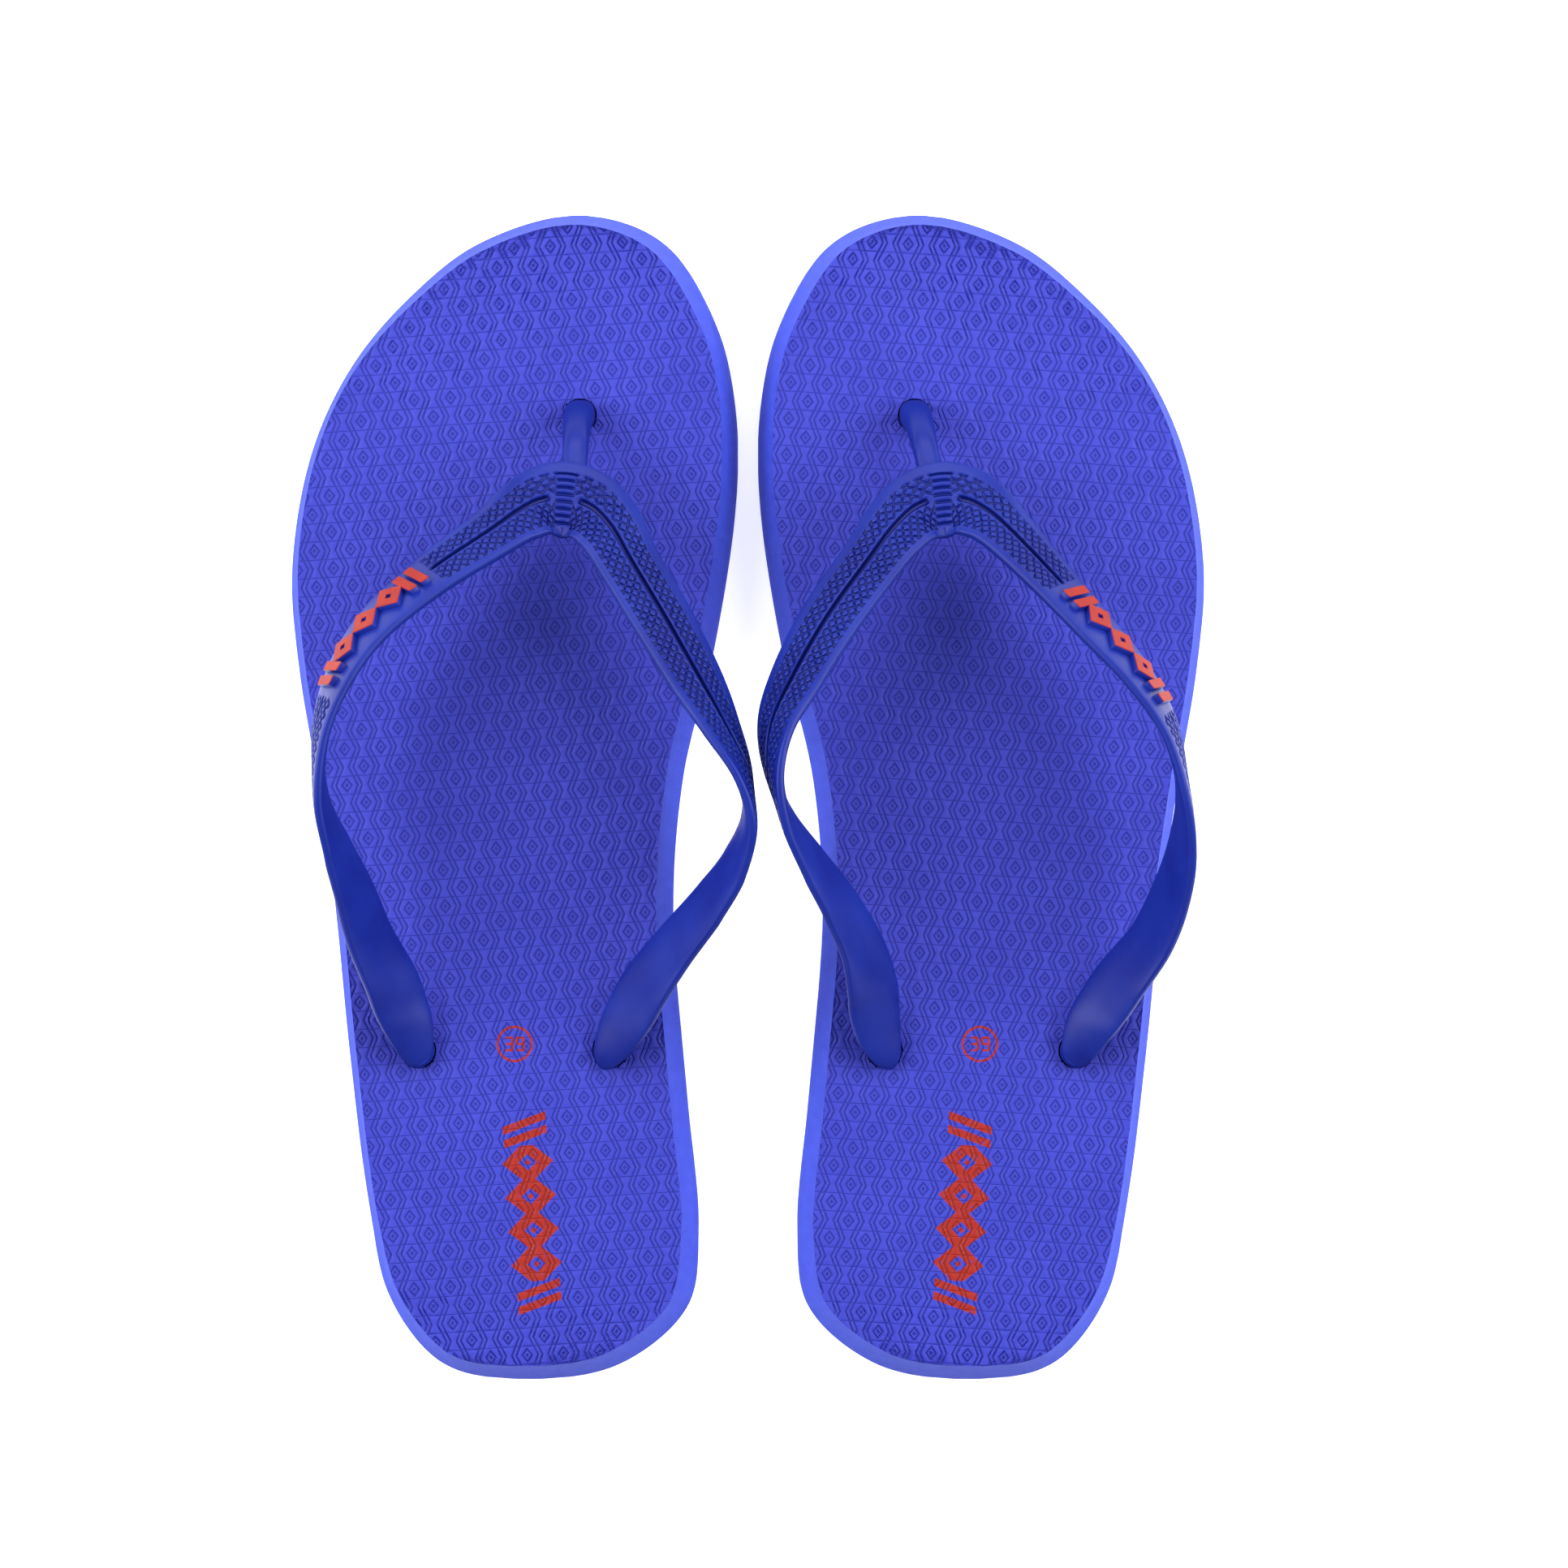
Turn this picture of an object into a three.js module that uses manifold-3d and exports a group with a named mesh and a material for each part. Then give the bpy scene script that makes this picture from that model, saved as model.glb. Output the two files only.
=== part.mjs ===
/**
 * A pair of toe-post flip flops standing side by side on the floor, toes towards +Y.
 *
 * Units are millimetres and +Z is up. The origin is on the floor, midway between the two soles
 * and halfway along them. Each flip flop is a flared outsole, a footbed sheet bonded on top of it,
 * one moulded strap (two arms, a toe post and three plugs) and a raised badge on the outer arm.
 * "Out" is the distance from the midline of the pair, so one set of numbers serves both feet.
 */
import * as THREE from "three";
import { mergeVertices } from "three/addons/utils/BufferGeometryUtils.js";
import Module from "manifold-3d";

const wasm = await Module();
wasm.setup();

// Sole: heights of the two bonded layers, and how far the wall leans out from top to floor.
const OUTSOLE_TOP = 10.5;
const FOOTBED_TOP = 16;
const WALL_FLARE = 3.4;
const TOE_EXTRA_FLARE = 1.1;
const HEEL_EXTRA_FLARE = 2;
const END_FLARE_FROM = 90;
const END_FLARE_FULL = 132;
const FLOOR_EDGE_CHAMFER = 0.8;
const OUTLINE_SAMPLES = 88;
const SOLE_MIDDLE = 54;

// The sole's outline on the floor as [out, y], from the toe tip round by the little-toe side.
const OUTLINE = [
  [38.2, 132.5], [61, 126.2], [76.5, 114.3], [90, 98.4], [99.3, 78.5], [103.8, 52],
  [102.3, 30], [98.2, 5], [94.3, -21.8], [90.6, -58.8], [86.2, -93], [81.3, -114.3],
  [69.1, -129.1], [50.2, -132.5], [29.3, -129.1], [13.8, -116], [11.2, -99], [14, -66],
  [17, -25], [14.5, 5.9], [7.7, 33.7], [2.6, 68], [2.9, 89.2], [7.3, 107.7], [19.3, 126.2],
];

// Anchors: where the post and the two tongues pass through the sole, and the plugs below.
const TOE_ANCHOR = { out: 37.4, y: 85.5, pegRadius: 3.4 };
const OUTER_ANCHOR = { out: 73.6, y: -56.6, pegRadius: 3.7 };
const INNER_ANCHOR = { out: 30.7, y: -56.6, pegRadius: 3.7 };
const ANCHORS = [TOE_ANCHOR, OUTER_ANCHOR, INNER_ANCHOR];
const HOLE_CLEARANCE = 0.35;
const PLUG_RADIUS = 8.8;
const PLUG_BOTTOM = 0.8;
const PLUG_TOP = 3.8;
const PLUG_CLEARANCE = 0.5;
const PEG_RISE = 3.2;
const ROUND_SIDES = 24;
const CUT_MARGIN = 1;
const WELD_DISTANCE = 1e-4;

// The strap is one ribbon from the outer tongue over the instep to the inner tongue. Each row is
// [out, y, height above the footbed, roll in degrees, width]. Roll is 0 with the textured face
// up and 90 with it facing outwards; past 90 the smooth inner face comes up, as it does at the
// tongues.
const STRAP_ROWS = [
  [73, -60, 1.4, 168, 2.2],
  [73.2, -58.7, 2.2, 165, 5.6],
  [73.6, -56.4, 3.4, 160, 8.3],
  [75.4, -50.8, 5.9, 152, 11.8],
  [77.7, -46, 8, 146, 13.4],
  [80.3, -40.6, 10.8, 139, 14.2],
  [85.5, -31.2, 15.5, 126, 14.6],
  [89, -20.7, 21.5, 115, 15.2],
  [91.4, -11, 27, 103, 15.5],
  [92.7, 0, 31, 89, 15.5],
  [91, 14.4, 32.8, 74, 15.5],
  [85.3, 26.5, 32.5, 64, 15.5],
  [77.6, 36.8, 30.8, 57, 15.5],
  [66.6, 48, 27.4, 50, 15.5],
  [55.1, 58.1, 23.5, 40, 15.8],
  [50.7, 61.8, 22, 31, 16.5],
  [46.3, 64.3, 20.7, 21, 17.2],
  [41.2, 64.9, 20, 14, 17.7],
  [35.8, 63.2, 20.5, 18, 17.2],
  [31.4, 59, 21.8, 25, 16.4],
  [26.3, 51.2, 23.8, 33, 15.6],
  [18, 38.5, 27, 36, 15.5],
  [10.8, 25.5, 30, 46, 15.5],
  [6, 15.5, 31.6, 62, 15.5],
  [3.3, 5, 31.6, 80, 15.5],
  [4.2, -5, 29.6, 98, 15.4],
  [8.5, -14.5, 25.4, 112, 15.2],
  [14, -23, 20.5, 122, 15],
  [20.6, -33, 14.7, 131, 14.6],
  [25, -41.7, 10.3, 140, 14.4],
  [27, -47.3, 7.8, 146, 13.4],
  [29, -52.4, 5.4, 152, 11.4],
  [31, -57, 3.3, 160, 7.8],
  [31.9, -59, 2.2, 165, 5.2],
  [32.4, -60.2, 1.4, 168, 2.2],
];
const STRAP_THICKNESS = 3;
const FULL_WIDTH = 15.5;
const SECTION_SIDES = 12;
const SECTION_SQUARENESS = 0.62;
const STEPS_PER_ROW = 2;
const APEX_OUT = 41.2;

// Both straps lean a little towards +X, as [amount, centre y, reach in y] for each arm. The apex
// leans too, and takes the top of the toe post with it.
const APEX_LEAN = 1.6;
const OUTER_LEANS = [[3.6, -22, 36], [-2.6, 38, 24], [APEX_LEAN, 66, 26]];
const INNER_LEANS = [[6.2, -18, 40], [APEX_LEAN, 66, 26]];

// The toe post as [out, y, height above the footbed, width, depth], from the plug to the apex.
const UPRIGHT_POST_ROWS = 2;
const POST_ROWS = [
  [37.4, 85.5, -13, 6.8, 6.8],
  [37.4, 85.5, -1, 6.8, 6.8],
  [37.5, 84.9, 3, 6.7, 6.4],
  [37.9, 82.3, 8, 6.3, 5.6],
  [38.3, 77.8, 13, 5.8, 5],
  [38.8, 73, 15.6, 5.5, 3.8],
  [39.4, 68.2, 17.4, 5.6, 3],
];

// The badge is a raised band on the textured face, between two places along the ribbon
// (counted in strap rows).
const BADGE_FROM = 10.6;
const BADGE_TO = 12.9;
const BADGE_STEPS = 10;
const BADGE_WIDTH = 8.4;
const BADGE_RISE = 1.3;
const BADGE_GAP = 0.3;

const MATERIALS = {
  outsole: new THREE.MeshStandardMaterial({ color: 0x4a5cdc, roughness: 0.62, metalness: 0 }),
  footbed: new THREE.MeshStandardMaterial({ color: 0x3e48c4, roughness: 0.58, metalness: 0 }),
  strap: new THREE.MeshStandardMaterial({ color: 0x222f9a, roughness: 0.36, metalness: 0 }),
  badge: new THREE.MeshStandardMaterial({ color: 0xc8321f, roughness: 0.4, metalness: 0 }),
};

const radians = THREE.MathUtils.degToRad;

/** A three.js geometry as a manifold-3d solid, turned outwards if it was made inside out. */
function solidOf(geometry) {
  const bare = new THREE.BufferGeometry();
  bare.setAttribute("position", geometry.getAttribute("position"));
  bare.setIndex(geometry.index);
  const merged = mergeVertices(bare, WELD_DISTANCE);
  const build = (triVerts) => new wasm.Manifold(new wasm.Mesh({
    numProp: 3,
    vertProperties: merged.attributes.position.array,
    triVerts,
  }));
  const triangles = new Uint32Array(merged.index.array);
  const solid = build(triangles);
  return solid.volume() > 0 ? solid : build(triangles.reverse());
}

/** A manifold-3d solid as a named mesh. */
function meshOf(name, solid, material) {
  const { numProp, vertProperties, triVerts } = solid.getMesh();
  const positions = [];
  for (let i = 0; i < vertProperties.length; i += numProp) {
    positions.push(...vertProperties.subarray(i, i + 3));
  }
  const geometry = new THREE.BufferGeometry();
  geometry.setAttribute("position", new THREE.Float32BufferAttribute(positions, 3));
  geometry.setIndex(new THREE.BufferAttribute(triVerts, 1));
  geometry.computeVertexNormals();
  const mesh = new THREE.Mesh(geometry, material);
  mesh.name = name;
  return mesh;
}

/** A closed solid through rings of equal length, with a fan over each end. */
function loft(rings) {
  const count = rings[0].length;
  const centres = [rings[0], rings.at(-1)].map((ring) =>
    ring.reduce((sum, point) => sum.add(point), new THREE.Vector3()).divideScalar(count));
  const points = [...rings.flat(), ...centres];
  const last = (rings.length - 1) * count;
  const index = [];
  for (let i = 0; i < count; i++) {
    const next = (i + 1) % count;
    for (let row = 0; row < last; row += count) {
      index.push(row + i, row + next, row + count + next);
      index.push(row + i, row + count + next, row + count + i);
    }
    index.push(points.length - 2, next, i);
    index.push(points.length - 1, last + i, last + next);
  }
  const geometry = new THREE.BufferGeometry().setFromPoints(points);
  geometry.setIndex(index);
  return solidOf(geometry);
}

/** An upright cylinder about (x, y) between two heights. */
function disc(x, y, radius, bottom, top) {
  const geometry = new THREE.CylinderGeometry(radius, radius, top - bottom, ROUND_SIDES);
  geometry.rotateX(Math.PI / 2);
  geometry.translate(x, y, (bottom + top) / 2);
  return solidOf(geometry);
}

/** The sole's outline at a height, for the left (side -1) or right (side 1) foot. */
function outlineAt(side, height) {
  const curve = new THREE.CatmullRomCurve3(
    OUTLINE.map(([out, y]) => new THREE.Vector3(side * out, y, 0)), true, "centripetal");
  const ring = [];
  for (let i = 0; i < OUTLINE_SAMPLES; i++) {
    const at = i / OUTLINE_SAMPLES;
    const point = curve.getPoint(at);
    const tangent = curve.getTangent(at);
    const inward = new THREE.Vector3(tangent.y, -tangent.x, 0).multiplyScalar(side);
    const end = THREE.MathUtils.smoothstep(Math.abs(point.y), END_FLARE_FROM, END_FLARE_FULL);
    const extra = point.y > 0 ? TOE_EXTRA_FLARE : HEEL_EXTRA_FLARE;
    const lean = (WALL_FLARE + extra * end) * height / FOOTBED_TOP;
    ring.push(point.addScaledVector(inward, lean).setZ(height));
  }
  return ring;
}

/** The three through holes of one flip flop, and the plug pockets in its underside. */
function anchorCuts(side) {
  return ANCHORS.flatMap(({ out, y, pegRadius }) => [
    disc(side * out, y, pegRadius + HOLE_CLEARANCE, -CUT_MARGIN, FOOTBED_TOP + CUT_MARGIN),
    disc(side * out, y, PLUG_RADIUS + PLUG_CLEARANCE, -CUT_MARGIN, PLUG_TOP + PLUG_CLEARANCE),
  ]);
}

function cutAway(solid, cuts) {
  return cuts.reduce((rest, cut) => rest.subtract(cut), solid);
}

/** The thick lower layer: it carries the flared wall down to the floor. */
function outsole(side) {
  const floorRing = outlineAt(side, 0);
  const centre = new THREE.Vector3(side * SOLE_MIDDLE, 0, 0);
  const tucked = floorRing.map((point) => {
    const inward = centre.clone().sub(point).normalize().multiplyScalar(FLOOR_EDGE_CHAMFER);
    return point.clone().add(inward);
  });
  const rings = [tucked, floorRing.map((p) => p.clone().setZ(FLOOR_EDGE_CHAMFER))];
  rings.push(outlineAt(side, OUTSOLE_TOP));
  return cutAway(loft(rings), anchorCuts(side));
}

/** The footbed sheet that the foot stands on. */
function footbed(side) {
  const slab = loft([outlineAt(side, OUTSOLE_TOP), outlineAt(side, FOOTBED_TOP)]);
  return cutAway(slab, anchorCuts(side));
}

/** How far a strap point leans towards +X. */
function leanOf(out, y) {
  const leans = out > APEX_OUT ? OUTER_LEANS : INNER_LEANS;
  return leans.reduce((sum, [amount, centre, reach]) => {
    const away = Math.min(1, Math.abs((y - centre) / reach));
    return sum + amount * (1 - away ** 2) ** 2;
  }, 0);
}

/** The strap's centre line, and its roll and width carried on a second curve in step with it. */
function strapCurves(side) {
  const centres = STRAP_ROWS.map(([out, y, height]) =>
    new THREE.Vector3(side * out + leanOf(out, y), y, FOOTBED_TOP + height));
  const shapes = STRAP_ROWS.map(([, , , roll, width]) => new THREE.Vector3(roll, width, 0));
  return {
    centre: new THREE.CatmullRomCurve3(centres, false, "centripetal"),
    shape: new THREE.CatmullRomCurve3(shapes, false, "catmullrom"),
  };
}

/** The ribbon's own axes at a place counted in strap rows: across it, and out of its face. */
function strapFrame(side, curves, row) {
  const at = row / (STRAP_ROWS.length - 1);
  const centre = curves.centre.getPoint(at);
  const shape = curves.shape.getPoint(at);
  const tangent = curves.centre.getTangent(at);
  const inward = new THREE.Vector3(tangent.y, -tangent.x, 0).normalize().multiplyScalar(-side);
  const upward = new THREE.Vector3().crossVectors(inward, tangent).multiplyScalar(-side);
  const roll = radians(shape.x);
  const across = inward.clone().multiplyScalar(Math.cos(roll))
    .addScaledVector(upward, Math.sin(roll));
  const face = inward.clone().multiplyScalar(-Math.sin(roll))
    .addScaledVector(upward, Math.cos(roll));
  return { centre, across, face, width: shape.y };
}

/** One rounded cross-section of the ribbon. */
function strapRing({ centre, across, face, width }) {
  const thickness = STRAP_THICKNESS * Math.sqrt(Math.min(1, width / FULL_WIDTH));
  const ring = [];
  for (let i = 0; i < SECTION_SIDES; i++) {
    const angle = i / SECTION_SIDES * 2 * Math.PI;
    const c = Math.cos(angle);
    const s = Math.sin(angle);
    const u = Math.sign(c) * Math.abs(c) ** SECTION_SQUARENESS * width / 2;
    const v = Math.sign(s) * Math.abs(s) ** SECTION_SQUARENESS * thickness / 2;
    ring.push(centre.clone().addScaledVector(across, u).addScaledVector(face, v));
  }
  return ring;
}

function ribbon(side) {
  const curves = strapCurves(side);
  const rings = [];
  for (let step = 0; step <= (STRAP_ROWS.length - 1) * STEPS_PER_ROW; step++) {
    rings.push(strapRing(strapFrame(side, curves, step / STEPS_PER_ROW)));
  }
  return loft(rings);
}

/** The toe post: a round peg in the sole that leans back and spreads into the apex. */
function toePost(side) {
  const reach = TOE_ANCHOR.y - POST_ROWS.at(-1)[1];
  const centres = POST_ROWS.map(([out, y, height]) => {
    const lean = APEX_LEAN * (TOE_ANCHOR.y - y) / reach;
    return new THREE.Vector3(side * out + lean, y, FOOTBED_TOP + height);
  });
  const curve = new THREE.CatmullRomCurve3(centres, false, "centripetal");
  const sideways = new THREE.Vector3(1, 0, 0);
  return loft(POST_ROWS.map(([, , , width, depth], row) => {
    const upright = row < UPRIGHT_POST_ROWS;
    const tangent = upright ? new THREE.Vector3(0, 0, 1) : curve.getTangent(row / (centres.length - 1));
    const front = new THREE.Vector3().crossVectors(tangent, sideways).normalize();
    const ring = [];
    for (let i = 0; i < SECTION_SIDES; i++) {
      const angle = i / SECTION_SIDES * 2 * Math.PI;
      ring.push(centres[row].clone()
        .addScaledVector(sideways, Math.cos(angle) * width / 2)
        .addScaledVector(front, Math.sin(angle) * depth / 2));
    }
    return ring;
  }));
}

/** The whole moulding: ribbon, toe post, the two rear pegs and the three plugs. */
function strap(side) {
  const rearPegs = [OUTER_ANCHOR, INNER_ANCHOR].map(({ out, y, pegRadius }) =>
    disc(side * out, y, pegRadius, PLUG_TOP - 1, FOOTBED_TOP + PEG_RISE));
  const plugs = ANCHORS.map(({ out, y }) =>
    disc(side * out, y, PLUG_RADIUS, PLUG_BOTTOM, PLUG_TOP));
  return [toePost(side), ...rearPegs, ...plugs].reduce((sum, piece) => sum.add(piece), ribbon(side));
}

/** The raised band on the outer arm. */
function badge(side) {
  const curves = strapCurves(side);
  const low = STRAP_THICKNESS / 2 + BADGE_GAP;
  const corners = [[-1, low], [1, low], [1, low + BADGE_RISE], [-1, low + BADGE_RISE]];
  const rings = [];
  for (let step = 0; step <= BADGE_STEPS; step++) {
    const row = BADGE_FROM + (BADGE_TO - BADGE_FROM) * step / BADGE_STEPS;
    const { centre, across, face } = strapFrame(side, curves, row);
    rings.push(corners.map(([u, v]) => centre.clone()
      .addScaledVector(across, u * BADGE_WIDTH / 2)
      .addScaledVector(face, v)));
  }
  return loft(rings);
}

function flipFlop(name, side) {
  const group = new THREE.Group();
  group.add(meshOf(`${name}_outsole`, outsole(side), MATERIALS.outsole));
  group.add(meshOf(`${name}_footbed`, footbed(side), MATERIALS.footbed));
  group.add(meshOf(`${name}_strap`, strap(side), MATERIALS.strap));
  group.add(meshOf(`${name}_strap_badge`, badge(side), MATERIALS.badge));
  return group;
}

const pair = new THREE.Group();
pair.add(flipFlop("left", -1));
pair.add(flipFlop("right", 1));

export default pair;
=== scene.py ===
import math

import bpy
import numpy as np
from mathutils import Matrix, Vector


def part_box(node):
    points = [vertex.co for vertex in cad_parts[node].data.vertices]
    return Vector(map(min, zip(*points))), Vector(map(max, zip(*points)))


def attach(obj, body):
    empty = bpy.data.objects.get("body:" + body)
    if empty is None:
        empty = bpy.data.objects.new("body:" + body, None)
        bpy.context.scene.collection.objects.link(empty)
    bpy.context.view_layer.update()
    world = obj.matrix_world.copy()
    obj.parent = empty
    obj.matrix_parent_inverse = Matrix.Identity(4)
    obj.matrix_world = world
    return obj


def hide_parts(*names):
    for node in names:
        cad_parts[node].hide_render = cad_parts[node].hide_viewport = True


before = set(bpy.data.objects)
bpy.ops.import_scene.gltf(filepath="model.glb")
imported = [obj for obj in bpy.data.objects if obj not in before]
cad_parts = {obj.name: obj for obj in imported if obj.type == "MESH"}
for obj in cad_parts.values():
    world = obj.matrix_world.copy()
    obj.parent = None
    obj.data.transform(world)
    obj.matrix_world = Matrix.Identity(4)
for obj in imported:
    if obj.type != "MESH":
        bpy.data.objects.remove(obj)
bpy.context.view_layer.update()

MM = 0.001
SIDES = {"left": -1, "right": 1}

# Sole, in millimetres. Its outlines come from the CAD walls, at the footbed's face, at the join
# of the two layers, at the top of the rounded floor edge and at the floor.
FOOTBED_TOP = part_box("left_footbed")[1][2] / MM
LAYER_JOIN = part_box("left_outsole")[1][2] / MM
FLOOR_RING = 0.8
SOLE_MIDDLE = 54.0
SAME_HEIGHT = 0.01
CAP_CENTRE_REACH = 20.0
RING_REFINE = 8
RING_LAP = 3
TIP_TRIM = 0.02
END_CROWDING = 0.4
EMBOSS_DEPTH = 0.3
FOOTBED_GRID = (440, 168)
OUTSOLE_GRID = (330, 126)
SNAP_SLACK = 0.32

# The rounded floor edge, as (share of the way out to the floor ring, height).
FLOOR_EDGE = ((0.35, 0.12), (0.75, 0.45), (1.0, FLOOR_RING))

# The soft dimple round each hole in the footbed, with small puckers at its edge.
DIMPLE_REACH = 1.9
DIMPLE_DEPTH = 0.75
DIMPLE_SMOOTHING = 0.6
PUCKER_COUNT = 9
PUCKER_DEPTH = 0.12
PUCKER_REACH = 1.5
PUCKER_SPREAD = 2.2

# The tread: zigzag grooves across the underside.
TREAD_DEPTH = 1.1
TREAD_PITCH = 7.0
TREAD_WAVE = 16.0
TREAD_SLOPE = 0.6
TREAD_HALF = 0.9
TREAD_SOFT = 0.3

# Anchors as (out, y, hole radius), and the pockets and plugs below.
TOE_ANCHOR = (37.4, 85.5, 3.75)
OUTER_ANCHOR = (73.6, -56.6, 4.05)
INNER_ANCHOR = (30.7, -56.6, 4.05)
ANCHORS = (TOE_ANCHOR, OUTER_ANCHOR, INNER_ANCHOR)
PEG_RADIUS = 3.7
PEG_SHOULDER = 1.2
PEG_TIP = (3.1, 2.6)
PIT_DEPTH = 5.0
PIT_EDGE = 0.15
POCKET_RADIUS = 9.3
POCKET_DEPTH = 4.3
POCKET_EDGE = 0.2
POCKET_LAND = (1.5, 3.0)
PLUG_RADIUS = 8.8
PLUG_BOTTOM = 0.8
PLUG_TOP = 3.8

# The strap's ribbon, from the outer tongue over the instep to the inner tongue, as
# (out, y, height above the footbed, roll in degrees, width).
STRAP_ROWS = (
    (73, -60, 1.4, 168, 2.2),
    (73.2, -58.7, 2.2, 165, 5.6),
    (73.6, -56.4, 3.4, 160, 8.3),
    (75.4, -50.8, 5.9, 152, 11.8),
    (77.7, -46, 8, 146, 13.4),
    (80.3, -40.6, 10.8, 139, 14.2),
    (85.5, -31.2, 15.5, 126, 14.6),
    (89, -20.7, 21.5, 115, 15.2),
    (91.4, -11, 27, 103, 15.5),
    (92.7, 0, 31, 89, 15.5),
    (91, 14.4, 32.8, 74, 15.5),
    (85.3, 26.5, 32.5, 64, 15.5),
    (77.6, 36.8, 30.8, 57, 15.5),
    (66.6, 48, 27.4, 50, 15.5),
    (55.1, 58.1, 23.5, 40, 15.8),
    (50.7, 61.8, 22, 31, 16.5),
    (46.3, 64.3, 20.7, 21, 17.2),
    (41.2, 64.9, 20, 14, 17.7),
    (35.8, 63.2, 20.5, 18, 17.2),
    (31.4, 59, 21.8, 25, 16.4),
    (26.3, 51.2, 23.8, 33, 15.6),
    (18, 38.5, 27, 36, 15.5),
    (10.8, 25.5, 30, 46, 15.5),
    (6, 15.5, 31.6, 62, 15.5),
    (3.3, 5, 31.6, 80, 15.5),
    (4.2, -5, 29.6, 98, 15.4),
    (8.5, -14.5, 25.4, 112, 15.2),
    (14, -23, 20.5, 122, 15),
    (20.6, -33, 14.7, 131, 14.6),
    (25, -41.7, 10.3, 140, 14.4),
    (27, -47.3, 7.8, 146, 13.4),
    (29, -52.4, 5.4, 152, 11.4),
    (31, -57, 3.3, 160, 7.8),
    (31.9, -59, 2.2, 165, 5.2),
    (32.4, -60.2, 1.4, 168, 2.2),
)
APEX_ROW = 17
APEX_OUT = 41.2

# How each arm leans towards +X, as bumps of (lean, y, reach along y).
APEX_LEAN = 1.6
OUTER_LEANS = ((3.6, -22, 36), (-2.6, 38, 24), (APEX_LEAN, 66, 26))
INNER_LEANS = ((6.2, -18, 40), (APEX_LEAN, 66, 26))

STRAP_THICKNESS = 3.0
EDGE_THINNING = 0.5
EDGE_ROUND = 0.8
FULL_WIDTH = 15.5
WIDTH_TRIM = 0.22
SPLINE_STEPS = 60
STRAP_STEP = 0.34
FACE_POINTS = 44
BACK_POINTS = 12
EDGE_POINTS = 5

# Relief on the strap's face, in millimetres. A cut is where a groove's flank starts and ends.
# GROOVE_LAND and GROOVE_START are (edge, softness) pairs.
FRONT_BORDER = 2.6
REAR_BORDER = 1.6
BORDER_SOFT = 0.15
KNURL_PITCH = 1.62
KNURL_DEPTH = 0.42
KNURL_CUT = (0.72, 0.98)
GROOVE_DEPTH = 0.85
GROOVE_HALF = 0.5
GROOVE_SOFT = 0.22
GROOVE_LAND = (1.15, 0.12)
RIB_PITCH = 1.45
RIB_CUT = (0.36, 0.6)
RIB_ZONE = 2.1
GROOVE_START = (RIB_ZONE + 1.4, 0.4)
APEX_BEND = 13.0
TEXTURE_END = 100.0
TEXTURE_FADE = 8.0

# The plain panel under the badge, by its middle and half its length along the strap.
PLAQUE_MIDDLE = 51.7
PLAQUE_HALF = 18.0
PLAQUE_SOFT = 0.3

# The badge: ringed lozenges and slanted bars, as places along and across its panel.
BADGE_SHIFT = 0.1
BADGE_LOZENGES = (-7.0, 0.0, 7.0)
BADGE_LOZENGE_HALF = (3.9, 4.5)
BADGE_HOLE = 0.22
BADGE_BARS = (-15.6, -12.4, 10.3, 13.4)
BADGE_BAR_HALF = 4.0
BADGE_BAR_ENDS = (-0.5, 1.7)
BADGE_BAR_SLANT = 0.8
BADGE_RISE = 1.35
BADGE_ROOT = -0.3
BADGE_CHAMFER = 0.15
BADGE_TAPER = (0.96, 0.92)
HOLE_FLARE = 1.1
TOP, FLANK = 0, 1

# The toe post as (out, y, height above the footbed, width, depth), from the plug to the apex.
POST_ROWS = (
    (37.4, 85.5, -13, 6.8, 6.8),
    (37.4, 85.5, -1, 6.8, 6.8),
    (37.5, 84.9, 3, 6.7, 6.4),
    (37.9, 82.3, 8, 6.3, 5.6),
    (38.3, 77.8, 13, 5.8, 5),
    (38.8, 73, 15.6, 5.5, 3.8),
    (39.4, 68.2, 17.4, 5.6, 3),
)
POST_SIDES = 32
POST_STEPS = 8
POST_SQUARENESS = 0.8

# Embossing on the footbed: rows of ringed lozenges between pairs of zigzag lines.
ROW_PITCH = 4.05
CELL_LENGTH = 8.1
ZIGZAG_SWING = 0.9
LINE_GAP = 0.5
LINE_HALF = 0.17
LINE_SOFT = 0.09
LOZENGE_HALF = (1.15, 1.5)
LOZENGE_RING = 0.95
LOZENGE_DOT = 0.3
LOZENGE_SOFT = 0.1
ROW_LINE_HALF = 0.12
ROW_LINE_SOFT = 0.08
ROW_LINE_DEPTH = 0.6
ROW_TILT = math.radians(3.5)

# Ink on the footbed, as places in (out, y): a band of lozenges and slanted bars at the heel.
HEEL_PRINT = (48.1, -92.9)
HEEL_PRINT_TILT = math.radians(5.0)
HEEL_PITCH = 7.6
HEEL_LOZENGE_HALF = (5.6, 5.0)
HEEL_LOZENGES_END = 2 * HEEL_PITCH
HEEL_RING = (0.69, 0.33)
HEEL_DOT = 0.14
HEEL_BARS = (17.2, 20.2)
HEEL_BAR_HALF = (0.9, 4.9)
HEEL_BAR_SLANT = 0.28
INK_SOFT = 0.06

# The ringed size number.
SIZE_MARK = (52.0, -55.1)
SIZE_RING = 3.8
DIGIT_PLACE = 1.25
DIGIT_HALF = (0.75, 1.4)
STROKE_HALF = 0.27

# The camera looks straight down from this point, and takes in this width of the floor.
CAMERA = (8.2, 3.0, 815.0)
PICTURE_WIDTH = 357.4
SENSOR = 36.0

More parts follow.
